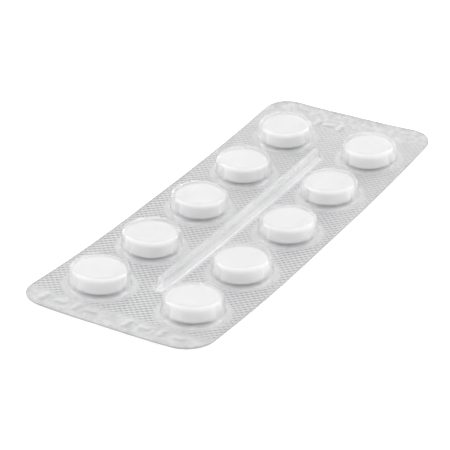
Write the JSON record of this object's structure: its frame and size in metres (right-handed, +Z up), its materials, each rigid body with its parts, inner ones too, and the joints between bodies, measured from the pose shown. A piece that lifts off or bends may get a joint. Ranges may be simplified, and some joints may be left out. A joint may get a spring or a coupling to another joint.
{
  "type": "strip of tablets",
  "caption": "Push-through strip of round tablets: a clear formed film with pockets in two rows and a middle rib, sealed to a foil that lies flat on a table.",
  "frame": {"origin": "centre of the bottom, in the flat middle of the foil", "axes": "+X across the two rows, +Y along the strip, +Z up, from the foil towards the pockets"},
  "size_m": [0.0382, 0.0986, 0.0055],
  "materials": {
    "film": "clear thermoformed film, glossy",
    "foil": "bright aluminium foil with a fine sealing knurl",
    "tablet": "pressed white powder, matt"
  },
  "bodies": {
    "root": {"blister_film": "film", "lidding_foil": "foil", "tablet_left_1": "tablet", "tablet_left_2": "tablet", "tablet_left_3": "tablet", "tablet_left_4": "tablet", "tablet_left_5": "tablet", "tablet_right_1": "tablet", "tablet_right_2": "tablet", "tablet_right_3": "tablet", "tablet_right_4": "tablet", "tablet_right_5": "tablet"}
  },
  "joints": []
}
